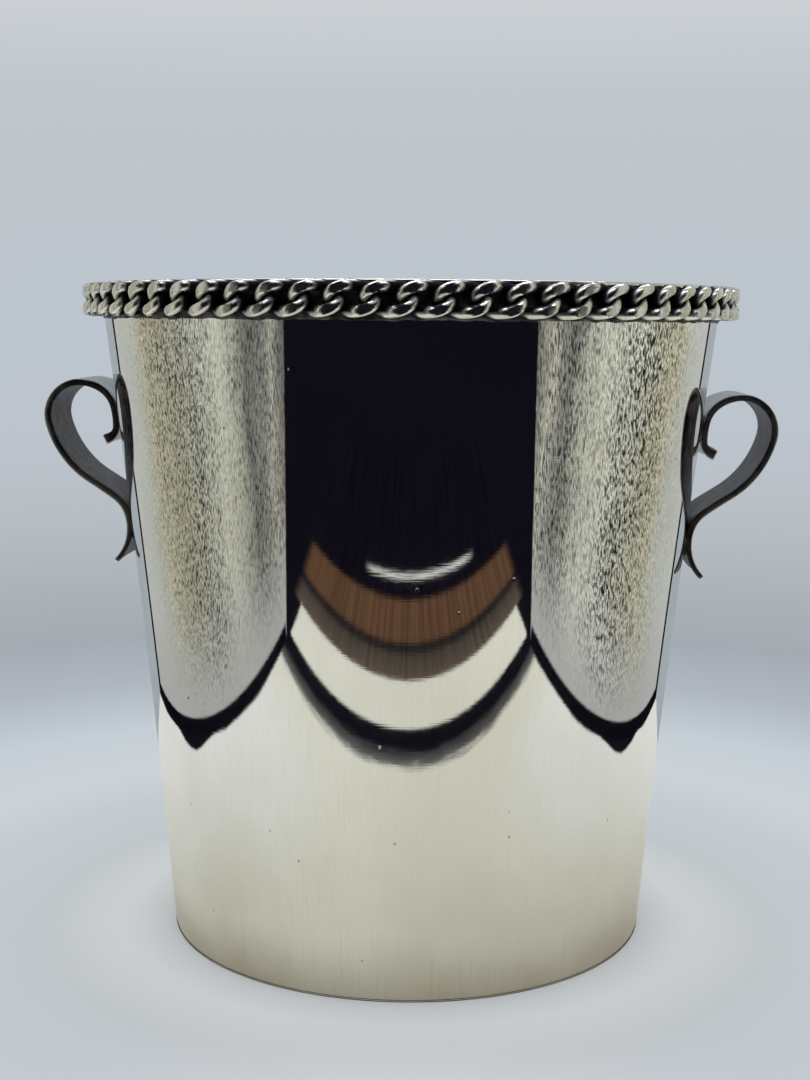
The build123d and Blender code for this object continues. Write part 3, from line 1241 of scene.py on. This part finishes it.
# %% Lamps in the roof
LAMP_STRENGTH = 10.0
LAMP_COLOUR = (1.0, 0.98, 0.94, 1.0)
LAMP_HALF_LENGTH = 0.19
LAMP_HALF_WIDTH = 0.012
LAMP_PLACES = {"front": -0.16, "back": 0.06}


def make_lamp():
    """A strip that gives its own light."""
    material, tree, shader = cloth("lamp_strip")
    tree.nodes.remove(shader)
    light = add_node(tree, "ShaderNodeEmission", Color=LAMP_COLOUR, Strength=LAMP_STRENGTH)
    tree.links.new(light.outputs[0], tree.nodes["Material Output"].inputs["Surface"])
    return material


lamp_strip = make_lamp()
print("lamp made:", lamp_strip.name)

# %% Hang the tent
PIPING_HEIGHT = 8.5 * MM
CORNER_WIDTH = 22 * MM
BEHIND = 0.6 * MM                    # one cloth hangs this far behind another
CONTACT = 0.4 * MM                   # how far the dark disc looks out under the bucket
for side, label in ((-1, "left"), (1, "right")):
    x = side * TENT_HALF_WIDTH
    near = x - side * BEHIND
    corner = TENT_BACK - CORNER_WIDTH
    hang_sheet(f"tent_{label}", x, FRONT_FOOT, FRONT_TOP, 0, TENT_HEIGHT, pebbled_cloth)
    hang_sheet(f"piping_{label}", near, FRONT_FOOT, FRONT_FOOT, OVER, PIPING_HEIGHT, seam_and_shade_cloth)
    hang_sheet(f"corner_{label}", near, corner, corner, 0, TENT_HEIGHT, seam_and_shade_cloth)
stage_sheet("tent_back", [(side * TENT_HALF_WIDTH, TENT_BACK, z) for side, z in
                          ((-1, 0), (1, 0), (1, TENT_HEIGHT), (-1, TENT_HEIGHT))], back_cloth)
lay_sheet("tent_roof", TENT_HALF_WIDTH, FRONT_TOP, TENT_BACK, TENT_HEIGHT, roof_cloth)
lay_sheet("tent_floor", FLOOR_HALF_WIDTH, FLAP_FRONT, TENT_BACK, OVER, floor_cloth)
lay_sheet("table_top", FLOOR_HALF_WIDTH, TABLE_FRONT, FLAP_FRONT, OVER, table)
for label, y in LAMP_PLACES.items():
    lay_sheet(f"lamp_{label}", LAMP_HALF_LENGTH, y - LAMP_HALF_WIDTH, y + LAMP_HALF_WIDTH,
              TENT_HEIGHT - BEHIND, lamp_strip)
bm = bmesh.new()
bmesh.ops.create_circle(bm, cap_ends=True, segments=96, radius=BASE_RADIUS + CONTACT)
contact = new_object(bm, "contact", seam_and_shade_cloth)
contact.location.z = 2 * OVER
only_mirrored(contact)
print("tent hung")

# %% [markdown]
# ## The seen floor and the air
#
# The floor is a wide pale disc with painted light and shade in rings round the
# bucket, like the light on a sheet that sweeps up behind an object, and a painted
# pool of light just in front of it.  Its far tone is the air's tone at eye level,
# so no horizon shows.

# %% The floor that the camera sees
FLOOR_RADIUS = 14.0
# painted light and shade in rings round the bucket
RING_LIGHT_AND_SHADE = [                       # distance from the axis and tone
    (0.08, (0.600, 0.629, 0.650)), (0.095, (0.614, 0.643, 0.664)), (0.12, (0.500, 0.529, 0.557)),
    (0.16, (0.475, 0.511, 0.546)), (0.2, (0.486, 0.525, 0.564)), (0.267, (0.436, 0.479, 0.518)),
    (0.36, (0.325, 0.357, 0.393)), (0.487, (0.275, 0.300, 0.329)), (0.66, (0.296, 0.327, 0.354)),
    (0.92, (0.331, 0.363, 0.389)), (1.24, (0.359, 0.386, 0.416)), (3, (0.404, 0.440, 0.484)),
    (FLOOR_RADIUS, (0.408, 0.448, 0.496))]
# a painted pool of light on the floor
FRONT_LIGHT_POOL = (0.565, 0.583, 0.61)    # just in front of the bucket
LIGHT_POOL_HALF_WIDTH = 0.10
LIGHT_POOL_START = (-0.075, -0.14)        # where that patch begins and is full
LIGHT_POOL_END = (-0.34, -0.20)           # where it is gone and where it is still full
HALFWAY = 0.3                        # distance that falls in the middle of the ramp of tones


def shrink(reach):
    """Distance from the axis as a share that never gets to 1, so near rings get more room."""
    return reach / (reach + HALFWAY)


def make_floor():
    """A wide disc with painted light and shade in rings and a painted pool of light in front of the
    bucket.
    """
    material, tree, shader = cloth("pale_floor")
    place = own_place(tree)
    reach = vector_node(tree, "LENGTH", place)["Value"]
    share = math_node(tree, "DIVIDE", reach, math_node(tree, "ADD", reach, HALFWAY))
    rings = [(shrink(at), tone) for at, tone in RING_LIGHT_AND_SHADE]
    ringed_light = colour_bands(tree, share, rings[0][0], rings[-1][0], rings)
    parts = split(tree, place)
    middle = ramp(tree, away_from(tree, parts["X"]), LIGHT_POOL_HALF_WIDTH, 0.0)
    near = math_node(tree, "MULTIPLY", ramp(tree, parts["Y"], *LIGHT_POOL_START),
                     ramp(tree, parts["Y"], *LIGHT_POOL_END))
    ahead = math_node(tree, "MULTIPLY", middle, near)
    connect(tree, shader, "Color", mix_colour(tree, ahead, ringed_light, FRONT_LIGHT_POOL))
    bm = bmesh.new()
    bmesh.ops.create_circle(bm, cap_ends=True, segments=128, radius=FLOOR_RADIUS)
    floor = new_object(bm, "floor", material)
    floor.rotation_euler.z = EYE_BEARING
    floor.visible_glossy = False


make_floor()
print("floor made")

# %% The air: pale for the camera, even light for matt things, darkness for mirrors
AIR_TONES = [                        # rise of the view and tone
    (0.0, (0.505, 0.555, 0.615)), (0.08, (0.515, 0.56, 0.60)), (0.13, (0.53, 0.565, 0.60)),
    (0.20, (0.62, 0.65, 0.68)), (1.0, (0.70, 0.73, 0.76))]
MIRRORED_DARK = (0.0052, 0.0047, 0.0092)
MATT_LIGHT = (1.4, 1.4, 1.4)


def make_air():
    """A world that shows each kind of ray its own tone."""
    world = bpy.data.worlds.new("studio_air")
    scene.world = world
    world.use_nodes = True
    tree = world.node_tree
    tree.nodes.clear()
    paths = tree.nodes.new("ShaderNodeLightPath").outputs
    ray = tree.nodes.new("ShaderNodeTexCoord").outputs["Generated"]
    seen = colour_bands(tree, split(tree, ray)["Z"], 0.0, 1.0, AIR_TONES)
    lit = mix_colour(tree, paths["Is Diffuse Ray"], MIRRORED_DARK, MATT_LIGHT)
    colour = mix_colour(tree, paths["Is Camera Ray"], lit, seen)
    air = tree.nodes.new("ShaderNodeBackground")
    tree.links.new(colour, air.inputs["Color"])
    end = tree.nodes.new("ShaderNodeOutputWorld")
    tree.links.new(air.outputs[0], end.inputs["Surface"])


make_air()
scene.view_settings.view_transform = "Standard"
scene.view_settings.look = "None"
print("air made")
